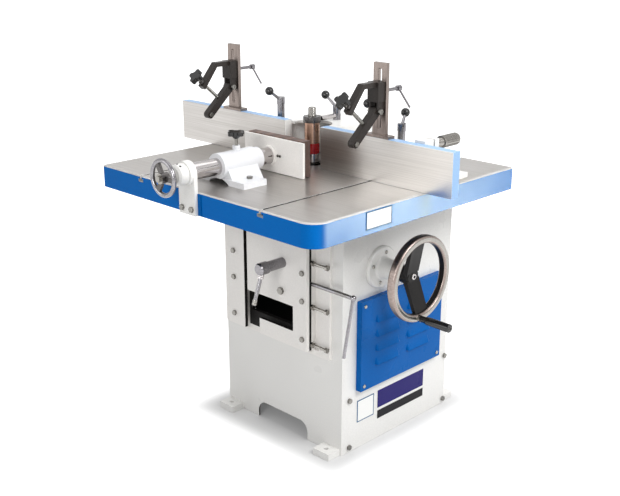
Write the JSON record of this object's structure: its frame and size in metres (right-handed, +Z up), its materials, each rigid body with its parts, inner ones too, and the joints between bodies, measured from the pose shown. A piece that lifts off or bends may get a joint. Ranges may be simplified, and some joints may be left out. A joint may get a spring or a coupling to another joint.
{
  "type": "spindle moulder",
  "caption": "Floor-standing spindle moulder: cast table on a plate cabinet, rising spindle, split fence with hood and hold-downs, front pressure shoe and side lifting handwheel.",
  "frame": {"origin": "on the floor, in the middle of the four foot bolt holes", "axes": "+X along the fence to the operator's right, +Y away from the operator, +Z up"},
  "size_m": [1.148, 0.987, 1.1883],
  "materials": {
    "white_enamel": "satin enamel",
    "blue_enamel": "gloss enamel",
    "ground_iron": "ground",
    "grey_plate": "satin enamel",
    "steel": "machined",
    "dark_steel": "blackened",
    "chrome_plate": "polished",
    "black_plastic": "moulded",
    "charcoal_enamel": "satin enamel",
    "red_enamel": "gloss",
    "bronze": "turned",
    "hardwood": "planed",
    "belt_rubber": "matt",
    "motor_grey": "satin enamel"
  },
  "bodies": {
    "base": {"cabinet": "white_enamel", "floor_feet": "white_enamel", "table": "ground_iron", "table_insert_ring": "ground_iron", "side_cover": "blue_enamel", "hex_bolts": "steel", "cap_screws": "steel", "slide_housing": "grey_plate", "slide_keepers": "grey_plate", "gib": "ground_iron", "gib_screws": "steel", "shaft_flange": "white_enamel", "lift_bracket": "white_enamel", "pressure_bracket": "white_enamel", "saddle": "white_enamel"},
    "carriage": {"spindle_carriage": "ground_iron", "spindle_bearings": "steel", "lift_nut": "bronze", "motor": "motor_grey", "drive_belt": "belt_rubber"},
    "spindle": {"spindle_shaft": "steel", "spindle_pulley": "ground_iron", "spacer_sleeve": "bronze", "guide_ring": "red_enamel", "base_collar": "chrome_plate", "spindle_nut": "dark_steel"},
    "motor_rotor": {"motor_shaft": "steel", "motor_pulley": "ground_iron"},
    "handwheel": {"handwheel": "steel", "handwheel_shaft": "steel"},
    "handwheel_handle": {"handwheel_handle": "black_plastic"},
    "lead_screw": {"lead_screw": "steel"},
    "slide_lock": {"slide_lock_lever": "steel"},
    "side_lock": {"side_lock_lever": "steel"},
    "fence": {"fence_body": "white_enamel", "clamp_posts": "chrome_plate"},
    "guard_rod": {"guard_rod": "chrome_plate"},
    "left_clamp": {"left_clamp_lever": "black_plastic"},
    "hood_clamp": {"hood_clamp_lever": "black_plastic"},
    "right_clamp": {"right_clamp_lever": "black_plastic"},
    "end_clamp": {"end_clamp_lever": "black_plastic"},
    "adjust_knob": {"adjust_knob": "dark_steel"},
    "right_carrier": {"right_fence_carrier": "white_enamel"},
    "left_fence": {"left_fence": "ground_iron", "left_hold_post": "steel"},
    "right_fence": {"right_fence": "ground_iron", "right_hold_post": "steel"},
    "pressure_bar": {"pressure_bar": "chrome_plate", "pressure_plate": "grey_plate", "wood_facing": "hardwood"},
    "pressure_screw": {"pressure_screw": "dark_steel"},
    "saddle_knob": {"saddle_knob": "black_plastic"},
    "left_hold_block": {"left_hold_block": "charcoal_enamel"},
    "left_hold_arm": {"left_hold_arm": "charcoal_enamel"},
    "left_hold_screw": {"left_hold_screw": "black_plastic"},
    "left_hold_clamp": {"left_hold_clamp": "steel"},
    "right_hold_block": {"right_hold_block": "charcoal_enamel"},
    "right_hold_arm": {"right_hold_arm": "charcoal_enamel"},
    "right_hold_screw": {"right_hold_screw": "black_plastic"},
    "right_hold_clamp": {"right_hold_clamp": "steel"}
  },
  "joints": [
    {"name": "handwheel_turn", "type": "hinge", "parent": "base", "child": "handwheel", "pos_m": [0.4, -0.092, 0.577], "axis": [1, 0, 0], "range_deg": [-5040, 2160]},
    {"name": "handle_spin", "type": "hinge", "parent": "handwheel", "child": "handwheel_handle", "pos_m": [0.48, -0.10027, 0.45879], "axis": [1, 0, 0], "continuous": true},
    {"name": "lead_screw_turn", "type": "hinge", "parent": "base", "child": "lead_screw", "pos_m": [0.085, -0.092, 0.65], "axis": [0, 0, 1], "range_deg": [-5050, 2170]},
    {"name": "carriage_slide", "type": "slide", "parent": "base", "child": "carriage", "axis": [0, 0, 1], "range_m": [-0.0705, 0.0305]},
    {"name": "spindle_spin", "type": "hinge", "parent": "carriage", "child": "spindle", "pos_m": [-0.02, -0.1, 0.7], "axis": [0, 0, 1], "continuous": true},
    {"name": "motor_spin", "type": "hinge", "parent": "carriage", "child": "motor_rotor", "pos_m": [-0.02, 0.12, 0.48], "axis": [0, 0, 1], "continuous": true},
    {"name": "slide_lock_turn", "type": "hinge", "parent": "base", "child": "slide_lock", "pos_m": [0.052, -0.35, 0.59], "axis": [0, 1, 0], "range_deg": [-60, 60]},
    {"name": "side_lock_turn", "type": "hinge", "parent": "base", "child": "side_lock", "pos_m": [0.25, -0.2755, 0.541], "axis": [1, 0, 0], "range_deg": [-45, 30]},
    {"name": "fence_slide", "type": "slide", "parent": "base", "child": "fence", "axis": [0, 1, 0], "range_m": [0, 0.08]},
    {"name": "left_fence_slide", "type": "slide", "parent": "fence", "child": "left_fence", "axis": [1, 0, 0], "range_m": [-0.04, 0.03]},
    {"name": "right_fence_set", "type": "slide", "parent": "fence", "child": "right_carrier", "axis": [0, -1, 0], "range_m": [0, 0.01]},
    {"name": "right_fence_slide", "type": "slide", "parent": "right_carrier", "child": "right_fence", "axis": [1, 0, 0], "range_m": [-0.03, 0.04]},
    {"name": "adjust_knob_turn", "type": "hinge", "parent": "fence", "child": "adjust_knob", "pos_m": [0.41, 0, 0.9673], "axis": [0, 1, 0], "range_deg": [-10, 2410]},
    {"name": "guard_rod_slide", "type": "slide", "parent": "fence", "child": "guard_rod", "axis": [0, 1, 0], "range_m": [0, 0.05]},
    {"name": "left_clamp_turn", "type": "hinge", "parent": "fence", "child": "left_clamp", "pos_m": [-0.173, -0.085, 1.02], "axis": [0, 0, 1], "range_deg": [-40, 40]},
    {"name": "hood_clamp_turn", "type": "hinge", "parent": "fence", "child": "hood_clamp", "pos_m": [-0.011, 0, 1.005], "axis": [0, 0, 1], "range_deg": [-40, 40]},
    {"name": "right_clamp_turn", "type": "hinge", "parent": "fence", "child": "right_clamp", "pos_m": [0.241, -0.085, 1.02], "axis": [0, 0, 1], "range_deg": [-40, 40]},
    {"name": "end_clamp_turn", "type": "hinge", "parent": "fence", "child": "end_clamp", "pos_m": [0.255, -0.005, 0.985], "axis": [0, 0, 1], "range_deg": [-40, 40]},
    {"name": "left_block_slide", "type": "slide", "parent": "left_fence", "child": "left_hold_block", "axis": [0, 0, 1], "range_m": [-0.04, 0.03]},
    {"name": "left_arm_swing", "type": "hinge", "parent": "left_hold_block", "child": "left_hold_arm", "pos_m": [-0.343, -0.1508, 1.0553], "axis": [1, 0, 0], "range_deg": [0, 30]},
    {"name": "left_screw_turn", "type": "hinge", "parent": "left_hold_block", "child": "left_hold_screw", "pos_m": [-0.343, -0.20294, 1.02697], "axis": [0, -0.7524, 0.6587], "range_deg": [-180, 180]},
    {"name": "left_hold_clamp_turn", "type": "hinge", "parent": "left_hold_block", "child": "left_hold_clamp", "pos_m": [-0.343, -0.1285, 1.1083], "axis": [0, 1, 0], "range_deg": [-45, 45]},
    {"name": "right_block_slide", "type": "slide", "parent": "right_fence", "child": "right_hold_block", "axis": [0, 0, 1], "range_m": [-0.04, 0.03]},
    {"name": "right_arm_swing", "type": "hinge", "parent": "right_hold_block", "child": "right_hold_arm", "pos_m": [0.2785, -0.1508, 1.0553], "axis": [1, 0, 0], "range_deg": [0, 30]},
    {"name": "right_screw_turn", "type": "hinge", "parent": "right_hold_block", "child": "right_hold_screw", "pos_m": [0.2785, -0.20294, 1.02697], "axis": [0, -0.7524, 0.6587], "range_deg": [-180, 180]},
    {"name": "right_hold_clamp_turn", "type": "hinge", "parent": "right_hold_block", "child": "right_hold_clamp", "pos_m": [0.2785, -0.1285, 1.1083], "axis": [0, 1, 0], "range_deg": [-45, 45]},
    {"name": "pressure_turn", "type": "hinge", "parent": "base", "child": "pressure_screw", "pos_m": [-0.028, -0.662, 0.9], "axis": [0, 1, 0], "range_deg": [-730, 4330]},
    {"name": "pressure_slide", "type": "slide", "parent": "base", "child": "pressure_bar", "axis": [0, 1, 0], "range_m": [-0.01, 0.06]},
    {"name": "saddle_knob_turn", "type": "hinge", "parent": "base", "child": "saddle_knob", "pos_m": [-0.028, -0.4, 0.98], "axis": [0, 0, 1], "range_deg": [-180, 180]}
  ],
  "couplings": [
    {"joint": "carriage_slide", "follows": "handwheel_turn", "m_per_rad": 0.00079577},
    {"joint": "lead_screw_turn", "follows": "handwheel_turn", "ratio": 1},
    {"joint": "motor_spin", "follows": "spindle_spin", "ratio": 0.6},
    {"joint": "adjust_knob_turn", "follows": "right_fence_set", "rad_per_m": 4188.8},
    {"joint": "pressure_turn", "follows": "pressure_slide", "rad_per_m": 1256.6}
  ]
}
